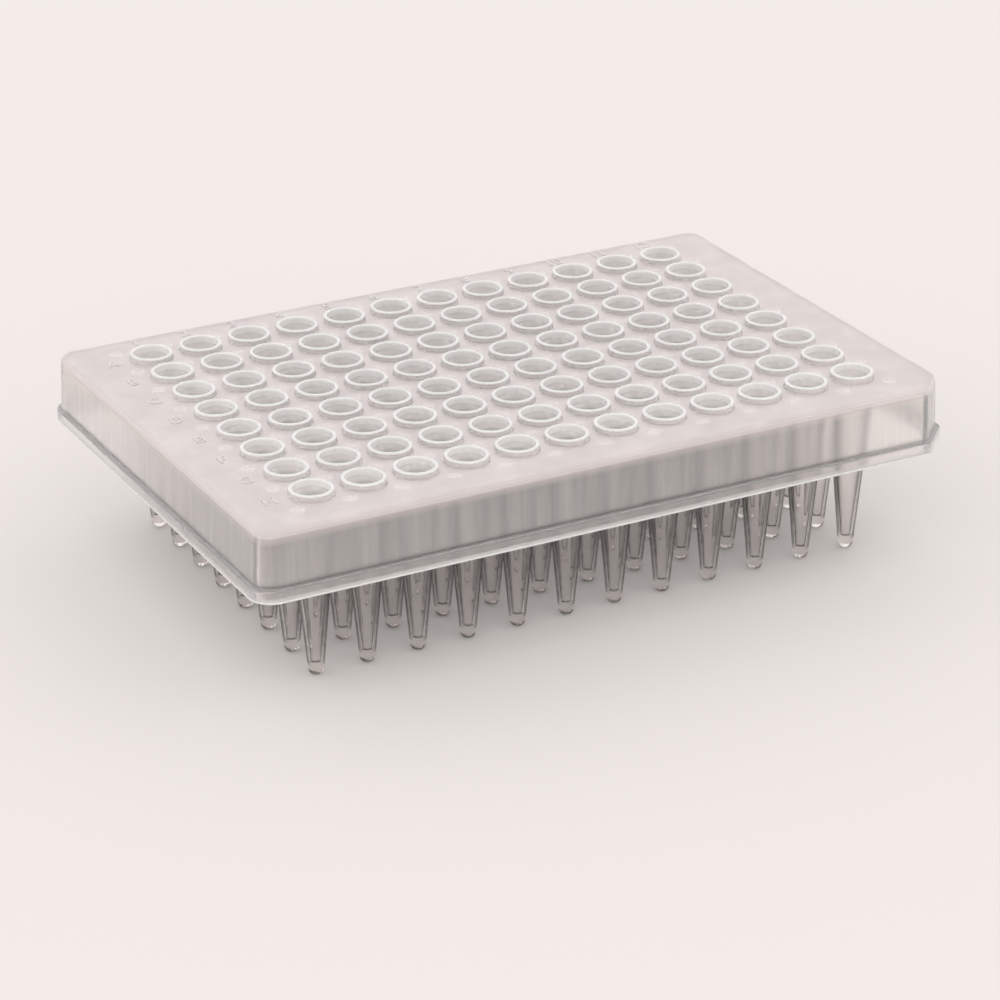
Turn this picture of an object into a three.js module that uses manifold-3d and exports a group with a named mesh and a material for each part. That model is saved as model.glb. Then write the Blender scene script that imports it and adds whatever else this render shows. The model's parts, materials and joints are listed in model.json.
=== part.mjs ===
// A 96-well plate with tall conical wells, moulded in one piece.
//
// Millimetres, +Z up. The origin is under the middle of the footprint, at the
// level of the well tips, which the plate stands on. X runs along the rows
// (columns 1 to 12), and Y runs from row H at the front to row A at the back.

import * as THREE from 'three';
import { mergeVertices } from 'three/addons/utils/BufferGeometryUtils.js';
import Module from 'manifold-3d';

const wasm = await Module();
wasm.setup();

// ---------------------------------------------------------------- driving sizes

// The grid of wells.
const columns = 12;
const rows = 8;
const wellPitch = 9;

// The footprint: how far it reaches beyond the middles of the outermost wells,
// its round corners and the one that is cut off.
const endMargin = 14.38;
const sideMargin = 11.24;
const cornerRadius = 4;
const cutCornerLeg = 5.6;

// Heights, all measured up from the well tips.
const rimTopHeight = 32.2;
const rimStand = 1.1;
const deckThickness = 1;
const skirtBottomHeight = 19.4;
const flangeHeight = 2.2;

// The skirt: its wall, how far the flange stands proud, its mould draft, and the
// rounding of the deck's edge.
const skirtWall = 1.1;
const flangeProud = 0.75;
const skirtDraft = 0.4;
const deckEdgeRound = 1.2;

// One well: the gap between two rims, the rim's wall and draft, the mould taper
// down to the break, and the steeper cone from there to the tip.
const rimGap = 1.6;
const rimWall = 0.6;
const rimDraft = 0.1;
const wellWall = 0.5;
const taperBreakHeight = 15;
const boreBreakDiameter = 4.2;
const tipDiameter = 2;
const floorThickness = 2.2;
const floorDiameter = 1.5;

// Facets on each round of a well, on each round corner and on the deck's edge.
const wellSides = 8;
const cornerSteps = 4;
const edgeRoundSteps = 2;

// --------------------------------------------------------------- derived sizes

const footprintLength = (columns - 1) * wellPitch + 2 * endMargin;
const footprintWidth = (rows - 1) * wellPitch + 2 * sideMargin;

const deckTopHeight = rimTopHeight - rimStand;
const deckUndersideHeight = deckTopHeight - deckThickness;
const flangeTopHeight = skirtBottomHeight + flangeHeight;
const wallTopHeight = deckTopHeight - deckEdgeRound;

const rimBaseDiameter = wellPitch - rimGap;
const rimTopDiameter = rimBaseDiameter - 2 * rimDraft;
const mouthDiameter = rimTopDiameter - 2 * rimWall;

// A cutting tool goes this far past the face that it opens.
const overshoot = 1;

// --------------------------------------------------------------- solid helpers

// A closed three.js geometry as a manifold solid.
function solidFrom(geometry) {
  geometry.deleteAttribute('normal');
  geometry.deleteAttribute('uv');
  const merged = mergeVertices(geometry, 1e-5);
  return new wasm.Manifold(new wasm.Mesh({
    numProp: 3,
    vertProperties: new Float32Array(merged.attributes.position.array),
    triVerts: new Uint32Array(merged.index.array),
  }));
}

// A manifold solid as a three.js geometry, flat shaded.
function geometryFrom(solid) {
  const mesh = solid.getMesh();
  const indexed = new THREE.BufferGeometry();
  indexed.setAttribute('position', new THREE.BufferAttribute(mesh.vertProperties, 3));
  indexed.setIndex(new THREE.BufferAttribute(mesh.triVerts, 1));
  const geometry = indexed.toNonIndexed();
  geometry.computeVertexNormals();
  return geometry;
}

// ------------------------------------------------------------- the plate's shell

// The footprint's outline moved inwards by inset, anticlockwise from the front
// left corner. Three corners are round, and the one beside the last well of the
// front row is cut off at 45 degrees.
function outlinePoints(inset) {
  const halfLength = footprintLength / 2 - inset;
  const halfWidth = footprintWidth / 2 - inset;
  const radius = Math.max(cornerRadius - inset, deckEdgeRound / 2);
  const cutLeg = cutCornerLeg - inset * (2 - Math.SQRT2);
  const points = [];

  const addRoundCorner = (signX, signY, startAngle) => {
    for (let step = 0; step <= cornerSteps; step += 1) {
      const angle = startAngle + (step / cornerSteps) * (Math.PI / 2);
      points.push(new THREE.Vector2(
        signX * (halfLength - radius) + radius * Math.cos(angle),
        signY * (halfWidth - radius) + radius * Math.sin(angle),
      ));
    }
  };

  addRoundCorner(-1, -1, Math.PI);
  points.push(new THREE.Vector2(halfLength - cutLeg, -halfWidth));
  points.push(new THREE.Vector2(halfLength, -halfWidth + cutLeg));
  addRoundCorner(1, 1, 0);
  addRoundCorner(-1, 1, Math.PI / 2);
  return points;
}

// A slab of that outline between two heights, its side sloping from one inset at
// the bottom to another at the top.
function outlineSlab(bottomHeight, topHeight, bottomInset, topInset) {
  const bottom = outlinePoints(bottomInset);
  const top = outlinePoints(topInset);
  const geometry = new THREE.ExtrudeGeometry(new THREE.Shape(bottom), {
    depth: topHeight - bottomHeight,
    bevelEnabled: false,
  });
  const position = geometry.attributes.position;
  for (let i = 0; i < position.count; i += 1) {
    if (position.getZ(i) > 0) {
      const here = new THREE.Vector2(position.getX(i), position.getY(i));
      const corner = bottom.findIndex((point) => point.distanceTo(here) < 1e-4);
      position.setXY(i, top[corner].x, top[corner].y);
    }
  }
  geometry.translate(0, 0, bottomHeight);
  return solidFrom(geometry);
}

// The skirt and deck as a filled block: a foot flange, a drafted wall and a
// rounded edge around the deck.
function shellBlock() {
  const wallTopInset = flangeProud + skirtDraft;
  let block = outlineSlab(skirtBottomHeight, flangeTopHeight, 0, 0);
  block = block.add(outlineSlab(flangeTopHeight, wallTopHeight, flangeProud, wallTopInset));
  for (let step = 0; step < edgeRoundSteps; step += 1) {
    const low = (step / edgeRoundSteps) * (Math.PI / 2);
    const high = ((step + 1) / edgeRoundSteps) * (Math.PI / 2);
    block = block.add(outlineSlab(
      wallTopHeight + deckEdgeRound * Math.sin(low),
      wallTopHeight + deckEdgeRound * Math.sin(high),
      wallTopInset + deckEdgeRound * (1 - Math.cos(low)),
      wallTopInset + deckEdgeRound * (1 - Math.cos(high)),
    ));
  }
  return block;
}

// The hollow under the deck, open at the bottom. Its wall follows the outside
// wall's draft.
function shellHollow() {
  const inset = flangeProud + skirtWall;
  const foot = outlineSlab(skirtBottomHeight - overshoot, flangeTopHeight, inset, inset);
  return foot.add(outlineSlab(flangeTopHeight, deckUndersideHeight, inset, inset + skirtDraft));
}

// ---------------------------------------------------------------------- wells

// Widens a polygon to the area of the circle that it stands for.
const roundnessFactor = Math.sqrt(
  (2 * Math.PI / wellSides) / Math.sin(2 * Math.PI / wellSides),
);

// A turned solid on a flat foot, from pairs of diameter and height going up. It
// is turned from the apex of its lowest cone, and the cone below the foot is then
// cut away.
function turned(profile) {
  const [[footDiameter, footHeight], [nextDiameter, nextHeight]] = profile;
  const taper = (nextDiameter - footDiameter) / (nextHeight - footHeight);
  const apexHeight = footHeight - footDiameter / taper;
  const [, topHeight] = profile[profile.length - 1];
  const points = [
    new THREE.Vector2(0, apexHeight),
    ...profile.slice(1).map(([diameter, height]) => (
      new THREE.Vector2((diameter / 2) * roundnessFactor, height)
    )),
    new THREE.Vector2(0, topHeight),
  ];
  const geometry = new THREE.LatheGeometry(points, wellSides);
  geometry.rotateX(Math.PI / 2);

  const cutDepth = footHeight - apexHeight + overshoot;
  const cutter = new THREE.BoxGeometry(wellPitch, wellPitch, cutDepth);
  cutter.translate(0, 0, footHeight - cutDepth / 2);
  return solidFrom(geometry).subtract(solidFrom(cutter));
}

// The diameter of a bore at a height above the taper's break.
function boreDiameterAt(height) {
  const share = (height - taperBreakHeight) / (rimTopHeight - taperBreakHeight);
  return boreBreakDiameter + share * (mouthDiameter - boreBreakDiameter);
}

// The outside of one well: the tip's cone, a slighter taper up to the deck, and
// the raised rim. The step out to the rim is inside the deck.
function wellBody() {
  const stepHeight = deckTopHeight - deckThickness / 2;
  return turned([
    [tipDiameter, 0],
    [boreBreakDiameter + 2 * wellWall, taperBreakHeight],
    [boreDiameterAt(stepHeight) + 2 * wellWall, stepHeight],
    [rimBaseDiameter, stepHeight],
    [rimBaseDiameter, deckTopHeight],
    [rimTopDiameter, rimTopHeight],
  ]);
}

// The inside of one well, down to its floor.
function wellBore() {
  return turned([
    [floorDiameter, floorThickness],
    [boreBreakDiameter, taperBreakHeight],
    [mouthDiameter, rimTopHeight],
    [mouthDiameter, rimTopHeight + overshoot],
  ]);
}

// The middle of each well.
function wellCentres() {
  const centres = [];
  for (let row = 0; row < rows; row += 1) {
    for (let column = 0; column < columns; column += 1) {
      centres.push([
        (column - (columns - 1) / 2) * wellPitch,
        (row - (rows - 1) / 2) * wellPitch,
        0,
      ]);
    }
  }
  return centres;
}

// ------------------------------------------------------------------- assembly

// The whole moulding: the hollow shell, the wells hanging from its deck, and
// their bores cut from above.
function wellPlateSolid() {
  const body = wellBody();
  const bore = wellBore();
  let plate = shellBlock().subtract(shellHollow());
  for (const centre of wellCentres()) {
    plate = plate.add(body.translate(centre));
  }
  for (const centre of wellCentres()) {
    plate = plate.subtract(bore.translate(centre));
  }
  return plate;
}

// Natural polypropylene, cloudy white and slightly warm.
const naturalPlastic = new THREE.MeshStandardMaterial({
  name: 'natural_plastic',
  color: 0xded9d6,
  roughness: 0.45,
  metalness: 0,
});

const wellPlate = new THREE.Mesh(geometryFrom(wellPlateSolid()), naturalPlastic);
wellPlate.name = 'well_plate';

const model = new THREE.Group();
model.add(wellPlate);

export default model;
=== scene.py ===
"""The looks of a 96-well plate with tall wells, moulded in one piece from natural polypropylene.

The moulding is put together as a toolmaker would: a skirted tray, wells joined to it,
then their bores and the dimples in the deck cut out, and the row and column marks raised
on top. Sizes are in millimetres, and MM turns them into metres where a mesh, a node or
the camera takes them.
"""

import json
import math
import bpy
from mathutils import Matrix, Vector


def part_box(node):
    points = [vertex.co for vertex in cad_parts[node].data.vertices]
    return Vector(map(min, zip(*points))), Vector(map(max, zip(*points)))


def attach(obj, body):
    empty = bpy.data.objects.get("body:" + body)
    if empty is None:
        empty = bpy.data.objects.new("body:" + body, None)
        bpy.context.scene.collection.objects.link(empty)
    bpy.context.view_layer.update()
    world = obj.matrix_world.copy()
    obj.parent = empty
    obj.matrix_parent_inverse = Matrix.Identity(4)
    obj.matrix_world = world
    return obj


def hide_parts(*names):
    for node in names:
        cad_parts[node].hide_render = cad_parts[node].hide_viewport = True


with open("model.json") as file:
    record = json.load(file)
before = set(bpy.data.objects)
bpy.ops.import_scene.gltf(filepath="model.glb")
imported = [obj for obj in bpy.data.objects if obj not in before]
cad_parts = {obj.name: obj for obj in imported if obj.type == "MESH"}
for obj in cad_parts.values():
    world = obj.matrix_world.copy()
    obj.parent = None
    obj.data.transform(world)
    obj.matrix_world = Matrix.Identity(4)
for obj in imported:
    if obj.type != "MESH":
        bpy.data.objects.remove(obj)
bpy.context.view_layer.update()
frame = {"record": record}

from types import SimpleNamespace

import bmesh
import bpy
from mathutils import Matrix, Vector

MM = 0.001

# ----------------------------------------------------------- sizes that the frame gives

NODE = "well_plate"
low, high = (Vector(corner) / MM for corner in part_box(NODE))
mount_height = {mount["name"]: mount["pos_m"][2] / MM for mount in frame["record"]["mounts"]}

FOOTPRINT = high - low
RIM_TOP = mount_height["rim_seal_plane"]
SKIRT_FOOT = mount_height["skirt_foot"]

# ------------------------------------------------------------------- the grid of wells

COLUMNS = 12
ROWS = 8
PITCH = 9.0
LAST_COLUMN = (COLUMNS - 1) / 2 * PITCH
LAST_ROW = (ROWS - 1) / 2 * PITCH

# ------------------------------------------------------------------------- the tray

RIM_STAND = 1.1
DECK_THICKNESS = 1.0
FLANGE_HEIGHT = 2.2

DECK_TOP = RIM_TOP - RIM_STAND
DECK_UNDERSIDE = DECK_TOP - DECK_THICKNESS
FLANGE_TOP = SKIRT_FOOT + FLANGE_HEIGHT

CORNER_RADIUS = 4.0
SMALLEST_CORNER_RADIUS = 0.5
CUT_CORNER_LEG = 5.6
CUT_CORNER_ROUND = 1.0

# How far the section's faces lie inside the footprint, and the thickness of the skirt.
FLANGE_PROUD = 0.75
SKIRT_DRAFT = 0.4
SKIRT_WALL = 1.1
DECK_BORDER = 6.0

# The rounding of the section's edges.
DECK_EDGE_ROUND = 1.2
UNDER_DECK_ROUND = 0.8
FLANGE_ROOT_ROUND = 0.25
FLANGE_TOP_ROUND = 0.3
FLANGE_FOOT_ROUND = 0.18
INNER_FOOT_ROUND = 0.15

# --------------------------------------------------------------------------- one well

RIM_BASE_RADIUS = 3.7
RIM_TOP_RADIUS = 3.6
RIM_ROOT_REACH = 0.35
RIM_ROOT_ROUND = 0.12
LIP_ROUND = 0.22
NECK_RADIUS = 3.39
NECK_REACH = 0.55
NECK_FILLET = 0.5
BREAK_HEIGHT = 15.0
BREAK_RADIUS = 2.6
BREAK_ROUND = 12.0
TIP_RADIUS = 1.22
TIP_ROUND = 1.1

MOUTH_RADIUS = 3.0
BORE_BREAK_RADIUS = 2.1
BORE_FLOOR = 2.2
BORE_FLOOR_RADIUS = 0.78
BORE_FLOOR_ROUND = 0.68

# ------------------------------------------------------------ dimples and raised marks

# The dimple's section from its middle outwards, as shares of its radius and depth.
DIMPLE_RADIUS = 1.2
DIMPLE_DEPTH = 0.2
DIMPLE_SECTION = ((0, 1), (0.4, 0.85), (0.75, 0.45))

# The rows' letters from the front to the back.
ROW_MARKS = "HGFEDCBA"
MARK_SIZE = 3.4
MARK_HEIGHT = 0.25
MARK_OFFSET = 7.0
MARK_CURVE_STEPS = 2

# ----------------------------------------------------------------- how finely it is cut

WELL_SIDES = 24
DIMPLE_SIDES = 16

# The largest turn in one step round a fillet and round a corner, and the angle past
# which an edge stays sharp, in degrees.
FILLET_STEP = 24.0
CORNER_STEP = 10.0
SHARP_ANGLE = 40.0

# How far joined shapes overlap, and how far a cutter passes the face that it opens.
OVERLAP = 0.02
BORE_CUTTER_REACH = 1.0
DIMPLE_CUTTER_REACH = 0.5

# A point nearer the axis than this is on it.
ON_AXIS = 1e-6

# In metres: points nearer each other than this are one, and joining and cutting leave
# slivers that are thinner than this.
MERGE_DISTANCE = 1e-7
SLIVER = 1e-6

# --------------------------------------------------------- where the plastic's look turns

# Each band is where a look starts and where it is complete. These are heights.
DECK_FACE_BAND = (DECK_TOP - 1.4, DECK_TOP - 0.8)
RIM_BAND = (DECK_UNDERSIDE - 0.4, DECK_UNDERSIDE + 0.1)
LIP_BAND = (RIM_TOP - 0.3, RIM_TOP - 0.15)
MOUTH_BAND = (DECK_TOP - 0.1, DECK_TOP + 0.2)
HAZY_BORE_BAND = (DECK_UNDERSIDE - 1.8, DECK_UNDERSIDE - 1.0)
SKIRT_WALL_BAND = (FLANGE_TOP + 0.2, FLANGE_TOP + 1.0)
UNDER_DECK_BAND = (DECK_UNDERSIDE - 1.6, DECK_UNDERSIDE)
FOOT_BAND = (SKIRT_FOOT + 0.5, SKIRT_FOOT + 0.2)
MARK_BAND = (DECK_TOP + 0.1, DECK_TOP + 0.2)
TIP_BAND = (BORE_FLOOR + 0.1, BORE_FLOOR - 0.5)

# These are distances from the axis of the nearest well, from the middle of the nearest
# dimple, outwards from the field that the wells fill, and from the flange's step.
BORE_BAND = (MOUTH_RADIUS + 0.4, MOUTH_RADIUS + 0.3)
DIMPLE_BAND = (DIMPLE_RADIUS + 0.1, DIMPLE_RADIUS - 0.1)
SKIRT_BAND = (1.0, 3.0)
FIELD_MARGIN = 4.0
WELL_FIELD = (LAST_COLUMN + FIELD_MARGIN, LAST_ROW + FIELD_MARGIN)
STEP_BAND = (0.5, 0.1)
STEP_HEIGHT = FLANGE_TOP + 0.1

# These have no unit: how far a face points up, how far it turns edge on, and the noise.
FACING_UP_BAND = (0.1, 0.9)
EDGE_ON_BAND = (0.12, 0.75)
NOISE_BAND = (0.3, 0.7)

# ------------------------------------------------------------------ the plastic's look

# Cloudy plastic on the deck, between its two shades; a near white painted highlight on the lips, and
# a share of it painted on the dimples and marks.
CLOUDY_COLOUR = (0.80, 0.742, 0.738, 1)
CLOUDY_SHADE = (0.71, 0.66, 0.66, 1)
PAINTED_HIGHLIGHT_COLOUR = (0.97, 0.905, 0.895, 1)
DIMPLE_AND_MARK_HIGHLIGHT_SHARE = 0.45

# Clear plastic: the rims, the thick skirt, and the thin wells, greyed partly by painted shade, with
# a painted dark outline where they turn edge on;
# the painted shade line over the flange's step, and a darker band of painted shade, in the deck's
# cloudy colour, at the skirt's top and over the deck's rounded edge.
RIM_COLOUR = (0.99, 0.895, 0.88, 1)
THICK_COLOUR = (0.98, 0.932, 0.915, 1)
THIN_TINT_AND_SHADE = (0.91, 0.892, 0.887, 1)
OUTLINE_SHADE_COLOUR = (0.02, 0.02, 0.02, 1)
STEP_SHADE_COLOUR = (0.45, 0.44, 0.44, 1)
UNDER_DECK_SHADED_COLOUR = (0.80, 0.745, 0.74, 1)

# How clear each place is, from 0, milky, to 1, clear.
WELL_CLEARNESS = 1.0
SKIRT_CLEARNESS = 0.85
STREAK_CLEARNESS = 0.81
RIM_CLEARNESS = 0.8
UNDER_DECK_CLEARNESS = 0.6
BORE_CLEARNESS = 0.4
DIMPLE_CLEARNESS = 0.3
DECK_CLEARNESS = 0.25
FOOT_CLEARNESS = 0.15
LIP_CLEARNESS = 0.12
MOUTH_CLEARNESS = 0.05

DECK_ROUGHNESS = 0.42
SKIRT_ROUGHNESS = 0.18
RIM_ROUGHNESS = 0.16
DIMPLE_ROUGHNESS = 0.08
WELL_ROUGHNESS = 0.03

# How much of the soft light passes one surface of the wells, the rims and the deck.
WELL_PASSING = 0.70
RIM_PASSING = 1.0
DECK_PASSING = 0.6

REFRACTIVE_INDEX = 1.49
LIGHT_REACH = 0.9

MOTTLE_SCALE = 130.0
MOTTLE_DETAIL = 5.0
MOTTLE_ROUGHNESS = 0.65
STREAK_STRETCH = (1.0, 1.0, 0.03)
STREAK_SCALE = 700.0
STREAK_DETAIL = 2.0

# -------------------------------------------------------------- the stage and the camera

FLOOR_COLOUR = (0.86, 0.815, 0.795, 1)
FLOOR_HALF_WIDTH = 6000.0

# What gloss and clear plastic show of the room, from its dim to its bright side, and the
# even light that the room gives.
ROOM_DIM = (0.5, 0.49, 0.48, 1)
ROOM_BRIGHT = (1.0, 0.97, 0.95, 1)
ROOM_LIGHT = (1.05, 1.035, 1.02, 1)
BRIGHT_SIDE = (-0.15, 0.72, 0.65)
BRIGHT_SIDE_BAND = (-0.1, 0.75)

CAMERA_PLACE = (-259.1, -489.9, 258.9)
CAMERA_FORWARD = (0.4256, 0.8045, -0.4142)
CAMERA_RIGHT = (0.8831, -0.4691, -0.0036)
CAMERA_LENS = 129.0
CAMERA_SENSOR = 36.0
CAMERA_NEAREST = 10.0
CAMERA_FURTHEST = 50000.0

# Clear walls stand one behind another, so light takes more turns than it does by default.
LIGHT_TURNS = 16

# ------------------------------------------------------------------- paths and meshes


def rounded(corners, closed=False, finest=FILLET_STEP):
    """A path through corners, each (x, y) or, where it is rounded, (x, y, radius)."""
    path = []
    last = len(corners) - 1
    for i, corner in enumerate(corners):
        here = Vector(corner[:2])
        if len(corner) == 2 or (not closed and i in (0, last)):
            path.append(here)
            continue
        before = (Vector(corners[i - 1][:2]) - here).normalized()
        after = (Vector(corners[(i + 1) % len(corners)][:2]) - here).normalized()
        half = before.angle(after) / 2
        radius = corner[2]
        centre = here + (before + after).normalized() * (radius / math.sin(half))
        start = here + before * (radius / math.tan(half)) - centre
        end = here + after * (radius / math.tan(half)) - centre
        turn = math.atan2(start.cross(end), start.dot(end))
        steps = max(1, round(abs(turn) / math.radians(finest)))
        for step in range(steps + 1):
            path.append(centre + Matrix.Rotation(turn * step / steps, 2) @ start)
    return path


def scene_object(name, data):
    """A new object in the scene that holds a mesh, a curve or a camera."""
    piece = bpy.data.objects.new(name, data)
    bpy.context.collection.objects.link(piece)
    return piece


def clean_up(shape):
    """Merges a bmesh's doubles and turns its faces outwards."""
    bmesh.ops.remove_doubles(shape, verts=shape.verts, dist=MERGE_DISTANCE)
    bmesh.ops.recalc_face_normals(shape, faces=shape.faces)


def mesh_object(name, points, faces):
    """A mesh object from points in millimetres, its faces turned outwards."""
    mesh = bpy.data.meshes.new(name)
    mesh.from_pydata([Vector(point) * MM for point in points], [], faces)
    shape = bmesh.new()
    shape.from_mesh(mesh)
    clean_up(shape)
    shape.to_mesh(mesh)
    shape.free()
    return scene_object(name, mesh)


def plain_mesh(piece, name):
    """A new object holding a piece's mesh with its modifiers applied."""
    evaluated = piece.evaluated_get(bpy.context.evaluated_depsgraph_get())
    mesh = bpy.data.meshes.new_from_object(evaluated)
    mesh.name = name
    return scene_object(name, mesh)


def turned(name, profile, sides):
    """A solid turned about Z, from a profile of (radius, height) that starts and ends on it."""
    points = []
    rings = []
    for radius, height in profile:
        count = 1 if radius < ON_AXIS else sides
        rings.append(range(len(points), len(points) + count))
        for side in range(count):
            angle = 2 * math.pi * side / sides
            points.append((radius * math.cos(angle), radius * math.sin(angle), height))
    faces = []
    for lower, upper in zip(rings, rings[1:]):
        for side in range(sides):
            following = (side + 1) % sides
            corners = [lower[side % len(lower)], lower[following % len(lower)]]
            corners += [upper[following % len(upper)], upper[side % len(upper)]]
            faces.append(list(dict.fromkeys(corners)))
    return mesh_object(name, points, faces)


# ------------------------------------------------------------------ the skirted tray


def outline(inset):
    """The footprint's outline moved inwards, with three round corners and one cut off."""
    half_length = FOOTPRINT.x / 2 - inset
    half_width = FOOTPRINT.y / 2 - inset
    radius = max(CORNER_RADIUS - inset, SMALLEST_CORNER_RADIUS)
    leg = CUT_CORNER_LEG - inset * (2 - math.sqrt(2))
    return rounded(
        [
            (-half_length, -half_width, radius),
            (half_length - leg, -half_width, CUT_CORNER_ROUND),
            (half_length, -half_width + leg, CUT_CORNER_ROUND),
            (half_length, half_width, radius),
            (-half_length, half_width, radius),
        ],
        closed=True,
        finest=CORNER_STEP,
    )


def skirted_tray():
    """The deck, its rounded edge, the drafted skirt and the flange at its foot, as one solid."""
    wall_top = FLANGE_PROUD + SKIRT_DRAFT
    inside = FLANGE_PROUD + SKIRT_WALL
    section = rounded(
        [
            (DECK_BORDER, DECK_TOP),
            (wall_top, DECK_TOP, DECK_EDGE_ROUND),
            (FLANGE_PROUD, FLANGE_TOP, FLANGE_ROOT_ROUND),
            (0, FLANGE_TOP, FLANGE_TOP_ROUND),
            (0, SKIRT_FOOT, FLANGE_FOOT_ROUND),
            (inside, SKIRT_FOOT, INNER_FOOT_ROUND),
            (inside, FLANGE_TOP),
            (inside + SKIRT_DRAFT, DECK_UNDERSIDE, UNDER_DECK_ROUND),
            (DECK_BORDER, DECK_UNDERSIDE),
        ]
    )
    points = []
    for inset, height in section:
        points += [(x, y, height) for x, y in outline(inset)]
    count = len(outline(0))
    faces = []
    for ring in range(len(section) - 1):
        first = ring * count
        for side in range(count):
            following = (side + 1) % count
            faces.append(
                [first + side, first + following, first + count + following, first + count + side]
            )
    faces.append(list(range(count)))
    faces.append(list(range(len(points) - count, len(points))))
    return mesh_object("skirted_tray", points, faces)


# ------------------------------------------------------------------------- the wells


def well_body():
    """The outside of one well: round tip, two tapers, the fillet under the deck and the rim."""
    inside_deck = (DECK_TOP + DECK_UNDERSIDE) / 2
    profile = rounded(
        [
            (0, 0),
            (TIP_RADIUS, 0, TIP_ROUND),
            (BREAK_RADIUS, BREAK_HEIGHT, BREAK_ROUND),
            (NECK_RADIUS, DECK_UNDERSIDE - OVERLAP, NECK_FILLET),
            (NECK_RADIUS + NECK_REACH, DECK_UNDERSIDE + OVERLAP),
            (NECK_RADIUS + NECK_REACH, inside_deck),
            (RIM_BASE_RADIUS + RIM_ROOT_REACH, inside_deck),
            (RIM_BASE_RADIUS + RIM_ROOT_REACH, DECK_TOP - OVERLAP),
            (RIM_BASE_RADIUS, DECK_TOP + OVERLAP, RIM_ROOT_ROUND),
            (RIM_TOP_RADIUS, RIM_TOP, LIP_ROUND),
            (0, RIM_TOP),
        ]
    )
    return turned("well_body", profile, WELL_SIDES)


def well_bore():
    """The inside of one well, from its round floor up past the rounded lip of its mouth."""
    share = (DECK_UNDERSIDE - BREAK_HEIGHT) / (RIM_TOP - BREAK_HEIGHT)
    bore_radius_at_deck = BORE_BREAK_RADIUS + share * (MOUTH_RADIUS - BORE_BREAK_RADIUS)
    past_lip = MOUTH_RADIUS + LIP_ROUND + OVERLAP
    profile = rounded(
        [
            (0, BORE_FLOOR),
            (BORE_FLOOR_RADIUS, BORE_FLOOR, BORE_FLOOR_ROUND),
            (BORE_BREAK_RADIUS, BREAK_HEIGHT, BREAK_ROUND),
            (bore_radius_at_deck, DECK_UNDERSIDE),
            (MOUTH_RADIUS, RIM_TOP, LIP_ROUND),
            (past_lip, RIM_TOP + OVERLAP),
            (past_lip, RIM_TOP + BORE_CUTTER_REACH),
            (0, RIM_TOP + BORE_CUTTER_REACH),
        ]
    )
    return turned("well_bore", profile, WELL_SIDES)


def deck_dimple():
    """A shallow round dimple in the deck, as the tool that cuts it."""
    profile = [(DIMPLE_RADIUS * out, DECK_TOP - DIMPLE_DEPTH * down) for out, down in DIMPLE_SECTION]
    profile += [
        (DIMPLE_RADIUS, DECK_TOP + OVERLAP),
        (DIMPLE_RADIUS, DECK_TOP + DIMPLE_CUTTER_REACH),
        (0, DECK_TOP + DIMPLE_CUTTER_REACH),
    ]
    return turned("deck_dimple", rounded(profile), DIMPLE_SIDES)


# -------------------------------------------------------------- raised marks on the deck


def mark_places():
    """Each mark's text and middle: row letters by column 1, column numbers behind row A."""
    for row, letter in enumerate(ROW_MARKS):
        yield letter, -LAST_COLUMN - MARK_OFFSET, row * PITCH - LAST_ROW
    for column in range(COLUMNS):
        yield str(column + 1), column * PITCH - LAST_COLUMN, LAST_ROW + MARK_OFFSET


def raised_marks():
    """All the letters and numbers that stand up from the deck, as one piece."""
    together = bmesh.new()
    for text, x, y in mark_places():
        curve = bpy.data.curves.new("mark", "FONT")
        curve.body = text
        curve.size = MARK_SIZE * MM
        curve.align_x = "CENTER"
        curve.align_y = "CENTER"
        curve.resolution_u = MARK_CURVE_STEPS
        curve.extrude = MARK_HEIGHT * MM
        lettering = scene_object("mark", curve)
        mesh = bpy.data.meshes.new_from_object(
            lettering.evaluated_get(bpy.context.evaluated_depsgraph_get())
        )
        mesh.transform(Matrix.Translation(Vector((x, y, DECK_TOP)) * MM))
        together.from_mesh(mesh)
        bpy.data.objects.remove(lettering)
        bpy.data.meshes.remove(mesh)
    clean_up(together)
    mesh = bpy.data.meshes.new("raised_marks")
    together.to_mesh(mesh)
    together.free()
    return scene_object("raised_marks", mesh)


# --------------------------------------------------------------- putting it together


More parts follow.
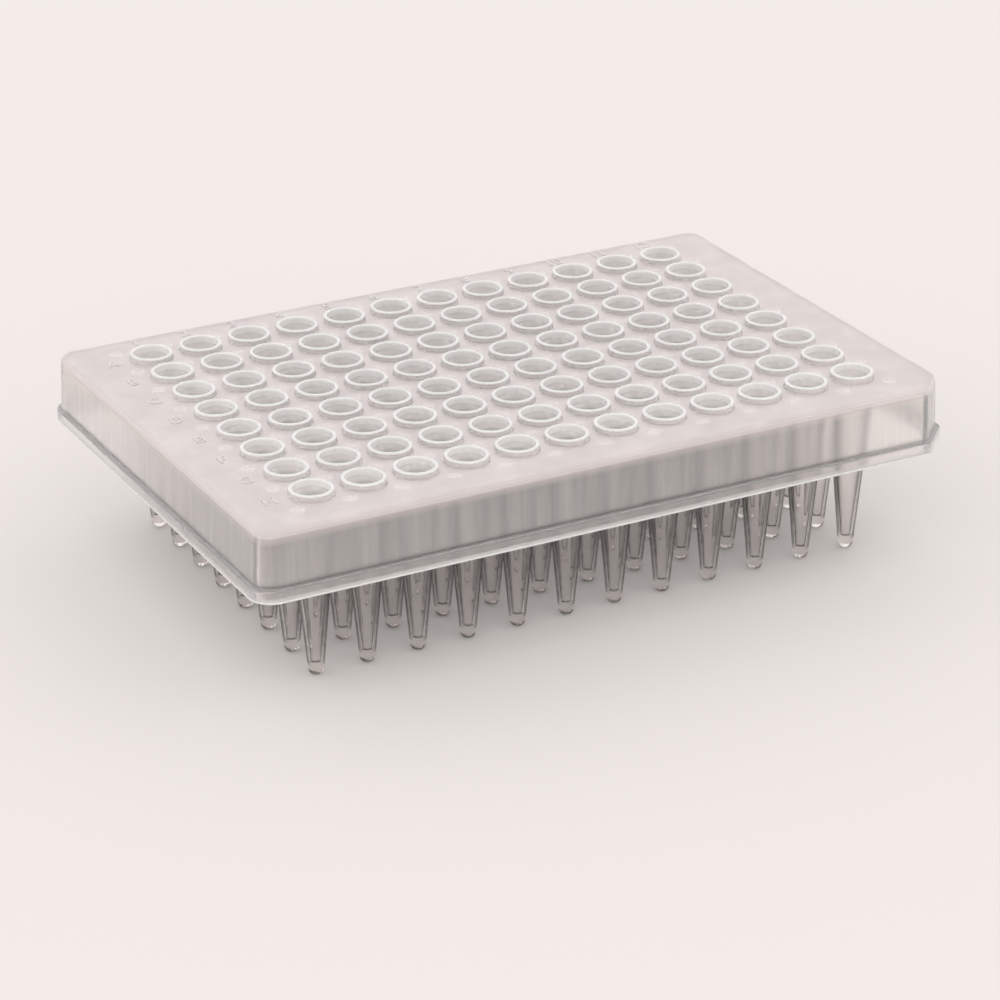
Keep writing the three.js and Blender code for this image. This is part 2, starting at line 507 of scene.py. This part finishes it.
class MouldingTree:
    """The Geometry Nodes tree that joins and cuts the moulding's tools on the grid of wells."""

    INPUTS = (
        ("Geometry", "NodeSocketGeometry"),
        ("Well Body", "NodeSocketObject"),
        ("Well Bore", "NodeSocketObject"),
        ("Dimple", "NodeSocketObject"),
        ("Marks", "NodeSocketObject"),
        ("Columns", "NodeSocketInt"),
        ("Rows", "NodeSocketInt"),
        ("Pitch", "NodeSocketFloat"),
        ("Plastic", "NodeSocketMaterial"),
    )

    def __init__(self):
        self.tree = bpy.data.node_groups.new("moulding", "GeometryNodeTree")
        sockets = self.tree.interface
        sockets.new_socket("Geometry", in_out="OUTPUT", socket_type="NodeSocketGeometry")
        for name, kind in self.INPUTS:
            sockets.new_socket(name, in_out="INPUT", socket_type=kind)
        self.nodes = self.tree.nodes
        self.links = self.tree.links
        self.given = self.nodes.new("NodeGroupInput").outputs
        self.finish(self.moulding())

    def maths(self, operation, first, second):
        """The result of first and second, each an output or a plain number."""
        node = self.nodes.new("ShaderNodeMath")
        node.operation = operation
        for socket, value in zip(node.inputs, (first, second)):
            if isinstance(value, bpy.types.NodeSocket):
                self.links.new(value, socket)
            else:
                socket.default_value = value
        return node.outputs[0]

    def shape_of(self, piece):
        """The geometry of the object that an input holds."""
        node = self.nodes.new("GeometryNodeObjectInfo")
        self.links.new(self.given[piece], node.inputs["Object"])
        return node.outputs["Geometry"]

    def on_grid(self, piece, columns, rows):
        """Copies of a piece at the points of a grid, centred on the plate."""
        grid = self.nodes.new("GeometryNodeMeshGrid")
        for axis, count in (("X", columns), ("Y", rows)):
            self.links.new(count, grid.inputs[f"Vertices {axis}"])
            span = self.maths("MULTIPLY", self.maths("SUBTRACT", count, 1), self.given["Pitch"])
            self.links.new(span, grid.inputs[f"Size {axis}"])
        copies = self.nodes.new("GeometryNodeInstanceOnPoints")
        self.links.new(grid.outputs["Mesh"], copies.inputs["Points"])
        self.links.new(self.shape_of(piece), copies.inputs["Instance"])
        return self.realized(copies.outputs["Instances"])

    def realized(self, geometry):
        """Geometry whose copies are real meshes."""
        node = self.nodes.new("GeometryNodeRealizeInstances")
        self.links.new(geometry, node.inputs["Geometry"])
        return node.outputs["Geometry"]

    def combine(self, operation, shape, tool):
        """Shape with a tool joined to it by UNION or cut from it by DIFFERENCE."""
        boolean = self.nodes.new("GeometryNodeMeshBoolean")
        boolean.operation = operation
        boolean.solver = "MANIFOLD"
        shape_input = "Mesh 2" if operation == "UNION" else "Mesh 1"
        self.links.new(shape, boolean.inputs[shape_input])
        self.links.new(tool, boolean.inputs["Mesh 2"])
        return boolean.outputs["Mesh"]

    def moulding(self):
        """Wells joined to the tray, bores and dimples cut, then the marks raised."""
        columns, rows = self.given["Columns"], self.given["Rows"]
        dimple_columns = self.maths("ADD", columns, 1)
        dimple_rows = self.maths("ADD", rows, 1)
        shape = self.given["Geometry"]
        shape = self.combine("UNION", shape, self.on_grid("Well Body", columns, rows))
        shape = self.combine("DIFFERENCE", shape, self.on_grid("Well Bore", columns, rows))
        dimples = self.on_grid("Dimple", dimple_columns, dimple_rows)
        shape = self.combine("DIFFERENCE", shape, dimples)
        return self.combine("UNION", shape, self.shape_of("Marks"))

    def finish(self, shape):
        """Ends the tree in one real mesh of the plastic."""
        material = self.nodes.new("GeometryNodeSetMaterial")
        self.links.new(self.realized(shape), material.inputs["Geometry"])
        self.links.new(self.given["Plastic"], material.inputs["Material"])
        result = self.nodes.new("NodeGroupOutput")
        self.links.new(material.outputs["Geometry"], result.inputs["Geometry"])

    def put_on(self, piece, values):
        """Adds the tree to a piece as a modifier, with the values of its named inputs."""
        modifier = piece.modifiers.new("moulding", "NODES")
        modifier.node_group = self.tree
        for item in self.tree.interface.items_tree:
            if item.in_out == "INPUT" and item.name in values:
                modifier[item.identifier] = values[item.name]


def finish_surface(piece):
    """Merges the slivers that cutting left, and shades fillets smoothly and flats as flat."""
    shape = bmesh.new()
    shape.from_mesh(piece.data)
    bmesh.ops.remove_doubles(shape, verts=shape.verts, dist=SLIVER)
    bmesh.ops.dissolve_degenerate(shape, edges=shape.edges, dist=SLIVER)
    for face in shape.faces:
        face.smooth = True
    for edge in shape.edges:
        edge.smooth = edge.calc_face_angle(0) < math.radians(SHARP_ANGLE)
    shape.to_mesh(piece.data)
    shape.free()
    piece.modifiers.new("even_shading", "WEIGHTED_NORMAL").keep_sharp = True


def moulding(plastic):
    """The whole plate as one plain mesh."""
    tray = skirted_tray()
    tools = {
        "Well Body": well_body(),
        "Well Bore": well_bore(),
        "Dimple": deck_dimple(),
        "Marks": raised_marks(),
    }
    sizes = {"Columns": COLUMNS, "Rows": ROWS, "Pitch": PITCH * MM}
    MouldingTree().put_on(tray, {**tools, **sizes, "Plastic": plastic})
    rough = plain_mesh(tray, "rough_moulding")
    finish_surface(rough)
    plate = plain_mesh(rough, "moulded_plate")
    for piece in (tray, rough, *tools.values()):
        bpy.data.objects.remove(piece)
    return plate


# ---------------------------------------------------------------------------- shaders


class Shader:
    """The node tree of a material or of the world, built a node at a time."""

    def __init__(self, owner):
        owner.use_nodes = True
        self.nodes = owner.node_tree.nodes
        self.links = owner.node_tree.links
        self.nodes.clear()

    def node(self, kind, settings=None, **inputs):
        """Adds a node; inputs hold a plain value or an output, by socket name or as _number."""
        node = self.nodes.new(kind)
        for name, value in (settings or {}).items():
            setattr(node, name, value)
        for name, value in inputs.items():
            number = name[1:]
            socket = node.inputs[int(number) if number.isdigit() else name.replace("_", " ")]
            if isinstance(value, bpy.types.NodeSocket):
                self.links.new(value, socket)
            else:
                socket.default_value = value
        return node

    def maths(self, operation, first, second=0.0):
        """The result of first and second, each an output or a plain number."""
        return self.node("ShaderNodeMath", {"operation": operation}, _0=first, _1=second).outputs[0]

    def times(self, first, second):
        """Where both masks hold."""
        return self.maths("MULTIPLY", first, second)

    def either(self, first, second):
        """Where at least one of two masks holds."""
        return self.maths("MAXIMUM", first, second)

    def ramp(self, value, band, unit=1.0):
        """A smooth turn from 0 at a band's start to 1 at its end."""
        settings = {"interpolation_type": "SMOOTHSTEP"}
        start, end = band
        node = self.node(
            "ShaderNodeMapRange", settings, Value=value, From_Min=start * unit, From_Max=end * unit
        )
        return node.outputs["Result"]

    def blend(self, share, first, second):
        """A number that goes from first to second as share goes from 0 to 1."""
        return self.node("ShaderNodeMix", _0=share, _2=first, _3=second).outputs[0]

    def mix_colour(self, share, first, second):
        """A colour that goes from first to second as share goes from 0 to 1."""
        node = self.node("ShaderNodeMix", {"data_type": "RGBA"}, _0=share, _6=first, _7=second)
        return node.outputs[2]

    def mix_surface(self, share, first, second):
        """A surface that goes from first to second as share goes from 0 to 1."""
        return self.node("ShaderNodeMixShader", _0=share, _1=first, _2=second).outputs[0]

    def finish(self, surface, output="ShaderNodeOutputMaterial"):
        """Ends the tree in a surface."""
        self.node(output, Surface=surface)


def new_material(name):
    """A material and the shader to build its nodes with."""
    material = bpy.data.materials.new(name)
    return material, Shader(material)


# ---------------------------------------------------------------------------- plastic


def distance(shader, across, along):
    """How far a point is from another, from its distances along X and Y."""
    squares = [shader.maths("POWER", side, 2.0) for side in (across, along)]
    return shader.maths("SQRT", shader.maths("ADD", *squares))


def plastic_places(shader):
    """Masks that are 1 in each place of the plate where the plastic has its own look."""
    coordinates = shader.node("ShaderNodeTexCoord").outputs
    place = coordinates["Object"]
    x, y, height = shader.node("ShaderNodeSeparateXYZ", Vector=place).outputs
    upright = shader.node("ShaderNodeSeparateXYZ", Vector=coordinates["Normal"]).outputs["Z"]

    # The skirt and the plain border of the deck lie outside the field of wells.
    past_end, past_side = (
        shader.maths("SUBTRACT", shader.maths("ABSOLUTE", axis), half * MM)
        for axis, half in zip((x, y), WELL_FIELD)
    )
    in_skirt = shader.ramp(shader.either(past_end, past_side), SKIRT_BAND, MM)
    in_field = shader.maths("SUBTRACT", 1.0, in_skirt)

    # The middle of the plate lies between four wells, on the middle of a dimple.
    half_pitch = PITCH / 2 * MM
    offsets = [shader.maths("PINGPONG", axis, half_pitch) for axis in (x, y)]
    from_dimple = distance(shader, *offsets)
    from_well = distance(shader, *(shader.maths("SUBTRACT", half_pitch, side) for side in offsets))

    def at_height(band):
        return shader.ramp(height, band, MM)

    in_bore = shader.times(shader.ramp(from_well, BORE_BAND, MM), in_field)
    hazy_bore = shader.times(in_bore, at_height(HAZY_BORE_BAND))
    at_rim = shader.either(at_height(RIM_BAND), hazy_bore)
    from_step = shader.maths("ABSOLUTE", shader.maths("SUBTRACT", height, STEP_HEIGHT * MM))
    return SimpleNamespace(
        place=place,
        in_skirt=in_skirt,
        in_field=in_field,
        in_bore=in_bore,
        at_rim=at_rim,
        in_mouth=at_height(MOUTH_BAND),
        on_lip=at_height(LIP_BAND),
        in_tip=at_height(TIP_BAND),
        under_deck=at_height(UNDER_DECK_BAND),
        at_foot=shader.times(at_height(FOOT_BAND), in_skirt),
        # Painted shade: a dark line over the flange's step.
        step_shade=shader.times(shader.ramp(from_step, STEP_BAND, MM), in_skirt),
        on_wall=shader.times(in_skirt, at_height(SKIRT_WALL_BAND)),
        on_mark=shader.times(at_height(MARK_BAND), in_skirt),
        in_dimple=shader.times(shader.ramp(from_dimple, DIMPLE_BAND, MM), in_field),
        cloudy=shader.times(shader.ramp(upright, FACING_UP_BAND), at_height(DECK_FACE_BAND)),
    )


def plastic_colour(shader, at):
    """Mottled cloudy shades where the plastic faces up, clear tints everywhere else, and painted
    light: highlights on the lips, dimples and marks, and shade on the wells, their outlines, the
    flange's step and the deck's edge.
    """
    off_wall = shader.either(at.in_tip, shader.either(at.at_rim, at.in_skirt))
    facing = shader.node("ShaderNodeLayerWeight").outputs["Facing"]
    edge_on = shader.ramp(facing, EDGE_ON_BAND)
    # Painted dark outline where the thin clear walls turn edge on, standing in for the dark
    # surroundings that their edges refract.
    outline_shade_share = shader.times(edge_on, shader.maths("SUBTRACT", 1.0, off_wall))
    # The thin wells are greyer than the thick parts: partly the plastic's own tint, partly painted
    # shade that darkens them under the deck.
    clear = shader.mix_colour(off_wall, THIN_TINT_AND_SHADE, THICK_COLOUR)
    clear = shader.mix_colour(shader.times(at.at_rim, at.in_field), clear, RIM_COLOUR)
    clear = shader.mix_colour(outline_shade_share, clear, OUTLINE_SHADE_COLOUR)
    # Painted shade: a dark line over the flange's step.
    clear = shader.mix_colour(at.step_shade, clear, STEP_SHADE_COLOUR)
    # Painted shade: the skirt's top and the deck's rounded edge take the darker cloudy colour of the
    # deck.
    clear = shader.mix_colour(shader.times(at.under_deck, at.in_skirt), clear, UNDER_DECK_SHADED_COLOUR)

    mottle = shader.node(
        "ShaderNodeTexNoise",
        Vector=at.place,
        Scale=MOTTLE_SCALE,
        Detail=MOTTLE_DETAIL,
        Roughness=MOTTLE_ROUGHNESS,
    ).outputs["Fac"]
    cloudy = shader.mix_colour(shader.ramp(mottle, NOISE_BAND), CLOUDY_SHADE, CLOUDY_COLOUR)
    # Painted highlight: the dimples and raised marks take this share of the near white colour.
    half_highlight = shader.times(shader.either(at.in_dimple, at.on_mark), DIMPLE_AND_MARK_HIGHLIGHT_SHARE)
    # Painted highlight: the lips turn near white.
    cloudy = shader.mix_colour(shader.either(at.on_lip, half_highlight), cloudy, PAINTED_HIGHLIGHT_COLOUR)
    return shader.mix_colour(at.cloudy, clear, cloudy)


def plastic_clearness(shader, at):
    """Clear wells, a hazy skirt with faint upright streaks, and a milky deck and bores."""
    drawn = shader.node(
        "ShaderNodeVectorMath", {"operation": "MULTIPLY"}, _0=at.place, _1=STREAK_STRETCH
    ).outputs[0]
    noise = shader.node(
        "ShaderNodeTexNoise", Vector=drawn, Scale=STREAK_SCALE, Detail=STREAK_DETAIL
    ).outputs["Fac"]
    streaks = shader.times(shader.ramp(noise, NOISE_BAND), at.on_wall)
    skirt = shader.blend(streaks, SKIRT_CLEARNESS, STREAK_CLEARNESS)
    skirt = shader.blend(at.under_deck, skirt, UNDER_DECK_CLEARNESS)
    skirt = shader.blend(at.at_foot, skirt, FOOT_CLEARNESS)
    bore = shader.blend(at.in_mouth, BORE_CLEARNESS, MOUTH_CLEARNESS)
    rim = shader.blend(at.in_bore, RIM_CLEARNESS, bore)
    upper = shader.blend(at.in_skirt, rim, DECK_CLEARNESS)
    clearness = shader.blend(at.in_skirt, WELL_CLEARNESS, skirt)
    clearness = shader.blend(at.at_rim, clearness, upper)
    clearness = shader.blend(at.cloudy, clearness, DECK_CLEARNESS)
    clearness = shader.blend(at.on_lip, clearness, LIP_CLEARNESS)
    return shader.blend(shader.times(at.in_dimple, at.cloudy), clearness, DIMPLE_CLEARNESS)


def plastic_roughness(shader, at):
    """Glossy wells and dimples, a satin skirt and a matt deck."""
    deck = shader.blend(at.in_dimple, DECK_ROUGHNESS, DIMPLE_ROUGHNESS)
    roughness = shader.blend(at.in_skirt, WELL_ROUGHNESS, SKIRT_ROUGHNESS)
    roughness = shader.blend(at.at_rim, roughness, RIM_ROUGHNESS)
    return shader.blend(at.cloudy, roughness, deck)


def moulded_polypropylene():
    """Natural polypropylene. Soft light and shadow rays go straight through it, dimmed."""
    material, shader = new_material("natural_polypropylene")
    at = plastic_places(shader)
    plastic = shader.node(
        "ShaderNodeBsdfPrincipled",
        Base_Color=plastic_colour(shader, at),
        Roughness=plastic_roughness(shader, at),
        IOR=REFRACTIVE_INDEX,
        Subsurface_Weight=1.0,
        Subsurface_Radius=(1.0, 1.0, 1.0),
        Subsurface_Scale=LIGHT_REACH * MM,
        Transmission_Weight=plastic_clearness(shader, at),
    ).outputs["BSDF"]
    upper = shader.blend(at.cloudy, RIM_PASSING, DECK_PASSING)
    passing = shader.blend(at.at_rim, WELL_PASSING, upper)
    grey = shader.node("ShaderNodeCombineColor", Red=passing, Green=passing, Blue=passing).outputs[0]
    through = shader.node("ShaderNodeBsdfTransparent", Color=grey).outputs["BSDF"]
    light = shader.node("ShaderNodeLightPath").outputs
    surface = shader.mix_surface(light["Is Shadow Ray"], plastic, through)
    surface = shader.mix_surface(light["Is Diffuse Ray"], surface, through)
    shader.finish(surface)
    return material


# ---------------------------------------------------------------- floor, light, camera


def floor():
    """A wide pale floor under the well tips, which can't be seen from below."""
    material, shader = new_material("pale_floor")
    matt = shader.node("ShaderNodeBsdfDiffuse", Color=FLOOR_COLOUR).outputs["BSDF"]
    open_below = shader.node("ShaderNodeBsdfTransparent").outputs["BSDF"]
    below = shader.node("ShaderNodeNewGeometry").outputs["Backfacing"]
    shader.finish(shader.mix_surface(below, matt, open_below))
    half = FLOOR_HALF_WIDTH * MM
    corners = [(-half, -half, 0), (half, -half, 0), (half, half, 0), (-half, half, 0)]
    mesh = bpy.data.meshes.new("floor")
    mesh.from_pydata(corners, [], [(0, 1, 2, 3)])
    mesh.materials.append(material)
    scene_object("floor", mesh)


def surroundings():
    """A room of even soft light, which gloss and clear plastic see as bright behind the plate."""
    world = bpy.data.worlds.new("soft_room")
    shader = Shader(world)
    direction = shader.node("ShaderNodeTexCoord").outputs["Generated"]
    bright_side = Vector(BRIGHT_SIDE).normalized()
    towards = shader.node(
        "ShaderNodeVectorMath", {"operation": "DOT_PRODUCT"}, _0=direction, _1=bright_side
    ).outputs["Value"]
    seen_room = shader.mix_colour(shader.ramp(towards, BRIGHT_SIDE_BAND), ROOM_DIM, ROOM_BRIGHT)
    light = shader.node("ShaderNodeLightPath").outputs
    seen = light["Is Camera Ray"]
    for ray in ("Is Glossy Ray", "Is Transmission Ray"):
        seen = shader.either(seen, light[ray])
    colour = shader.mix_colour(seen, ROOM_LIGHT, seen_room)
    background = shader.node("ShaderNodeBackground", Color=colour, Strength=1.0)
    shader.finish(background.outputs["Background"], "ShaderNodeOutputWorld")
    world.cycles.sampling_method = "NONE"
    bpy.context.scene.world = world


def camera():
    """The camera, from the front left and above, through a long lens."""
    view = bpy.data.cameras.new("camera")
    view.lens = CAMERA_LENS
    view.sensor_width = CAMERA_SENSOR
    view.clip_start = CAMERA_NEAREST * MM
    view.clip_end = CAMERA_FURTHEST * MM
    forward = Vector(CAMERA_FORWARD).normalized()
    right = Vector(CAMERA_RIGHT)
    right = (right - forward * right.dot(forward)).normalized()
    up = right.cross(forward)
    turn = Matrix((right, up, -forward)).transposed().to_4x4()
    piece = scene_object("camera", view)
    piece.matrix_world = Matrix.Translation(Vector(CAMERA_PLACE) * MM) @ turn
    bpy.context.scene.camera = piece


def render_settings():
    """Plain colours, and enough turns for light to pass several wells."""
    scene = bpy.context.scene
    scene.view_settings.view_transform = "Standard"
    scene.cycles.max_bounces = LIGHT_TURNS
    scene.cycles.transmission_bounces = LIGHT_TURNS
    scene.cycles.transparent_max_bounces = LIGHT_TURNS


# --------------------------------------------------------------------------- assembly

plate = moulding(moulded_polypropylene())
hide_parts(NODE)
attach(plate, "root")

floor()
surroundings()
camera()
render_settings()
